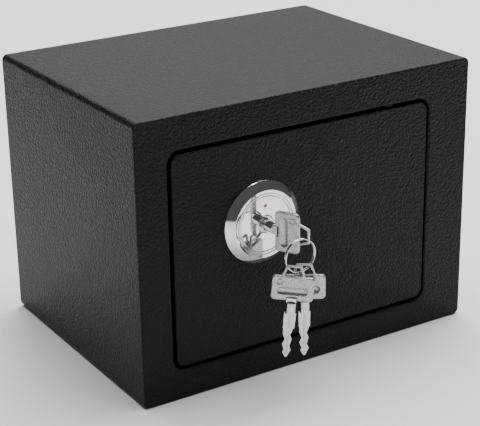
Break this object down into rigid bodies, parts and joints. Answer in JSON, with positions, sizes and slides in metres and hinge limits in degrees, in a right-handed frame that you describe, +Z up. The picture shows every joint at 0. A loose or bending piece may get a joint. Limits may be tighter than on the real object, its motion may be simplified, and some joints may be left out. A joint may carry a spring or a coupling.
{
  "type": "key-locking safe",
  "caption": "Small steel safe with a recessed hinged door, a round key lock that throws twin locking bolts, and a ring of folding keys.",
  "frame": {"origin": "centre of the underside, on the floor", "axes": "door faces -Y, +X to the right of someone facing the door, +Z up"},
  "size_m": [0.23, 0.208, 0.17],
  "materials": {
    "powder_coat": "black wrinkle powder coat",
    "inner_paint": "black powder coat on welded brackets",
    "felt": "dark grey needle felt",
    "zinc_plate": "zinc plated steel",
    "black_oxide": "black oxide on hinge pins and washers",
    "bright_steel": "turned bright steel bar",
    "bezel_chrome": "polished chrome",
    "mirror_disc": "mirror polished stainless disc",
    "red_enamel": "red enamel dot",
    "lock_casting": "plated zinc casting",
    "satin_nickel": "sand-cast satin nickel",
    "bright_nickel": "bright nickel plate",
    "ring_steel": "polished spring steel"
  },
  "bodies": {
    "cabinet": {"body_wrap": "powder_coat", "rear_panel": "powder_coat", "front_frame": "powder_coat", "floor_mat": "felt", "frame_hinge_bracket_upper": "inner_paint", "frame_hinge_bracket_lower": "inner_paint", "hinge_pin_upper": "black_oxide", "hinge_pin_lower": "black_oxide"},
    "door": {"door_plate": "powder_coat", "door_hinge_bracket_upper": "inner_paint", "door_hinge_bracket_lower": "inner_paint", "hinge_washer_upper": "black_oxide", "hinge_washer_lower": "black_oxide", "lock_bezel": "bezel_chrome", "lock_face": "mirror_disc", "indicator_dot": "red_enamel", "lock_body": "lock_casting", "lock_washer": "zinc_plate", "lock_nut": "zinc_plate", "bolt_guide_upper": "zinc_plate", "bolt_guide_lower": "zinc_plate", "guide_posts": "zinc_plate", "guide_screws": "zinc_plate"},
    "plug": {"lock_plug": "lock_casting", "lock_cam": "zinc_plate", "cam_pin": "zinc_plate", "cam_washer": "zinc_plate", "cam_screw": "zinc_plate"},
    "bolt_carriage": {"bolt_carrier": "zinc_plate", "locking_bolt_upper": "bright_steel", "locking_bolt_lower": "bright_steel", "bolt_rivets": "zinc_plate"},
    "key_shank": {"key_blade": "bright_nickel"},
    "key_head": {"key_bow": "satin_nickel", "key_fold_pin": "bright_nickel"},
    "ring": {"key_ring": "ring_steel"},
    "spare_1_head": {"spare_key_1_bow": "satin_nickel", "spare_key_1_fold_pin": "bright_nickel"},
    "spare_1_shank": {"spare_key_1_blade": "bright_nickel"},
    "spare_2_head": {"spare_key_2_bow": "satin_nickel", "spare_key_2_fold_pin": "bright_nickel"},
    "spare_2_shank": {"spare_key_2_blade": "bright_nickel"}
  },
  "joints": [
    {"name": "door_hinge", "type": "hinge", "parent": "cabinet", "child": "door", "pos_m": [0.058, -0.0789, 0.084], "axis": [0, 0, 1], "range_deg": [0, 100]},
    {"name": "plug_turn", "type": "hinge", "parent": "door", "child": "plug", "pos_m": [-0.035, -0.075, 0.097], "axis": [0, -1, 0], "range_deg": [0, 90]},
    {"name": "bolt_slide", "type": "slide", "parent": "door", "child": "bolt_carriage", "axis": [-1, 0, 0], "range_m": [0, 0.01273]},
    {"name": "key_withdraw", "type": "slide", "parent": "plug", "child": "key_shank", "axis": [0, -1, 0], "range_m": [0, 0.026]},
    {"name": "key_fold", "type": "hinge", "parent": "key_shank", "child": "key_head", "pos_m": [-0.035, -0.1009, 0.097], "axis": [0, 0, 1], "range_deg": [-118, 62]},
    {"name": "ring_swing", "type": "hinge", "parent": "key_head", "child": "ring", "pos_m": [-0.02735, -0.11529, 0.0949], "axis": [-0.9781, 0, 0.2079], "range_deg": [0, 60]},
    {"name": "spare_1_swing", "type": "hinge", "parent": "ring", "child": "spare_1_head", "pos_m": [-0.03334, -0.11529, 0.07646], "axis": [-0.9135, 0, 0.4067], "range_deg": [0, 20]},
    {"name": "spare_1_fold", "type": "hinge", "parent": "spare_1_head", "child": "spare_1_shank", "pos_m": [-0.03466, -0.11437, 0.06003], "axis": [-0.8152, 0.5708, 0.0976], "range_deg": [0, 90]},
    {"name": "spare_2_swing", "type": "hinge", "parent": "ring", "child": "spare_2_head", "pos_m": [-0.02661, -0.11529, 0.07601], "axis": [0.9588, 0, 0.284], "range_deg": [0, 10]},
    {"name": "spare_2_fold", "type": "hinge", "parent": "spare_2_head", "child": "spare_2_shank", "pos_m": [-0.02661, -0.11529, 0.05951], "axis": [0.8192, -0.5736, 0], "range_deg": [0, 60]}
  ],
  "couplings": [
    {"joint": "bolt_slide", "follows": "plug_turn", "m_per_rad": 0.008102}
  ]
}
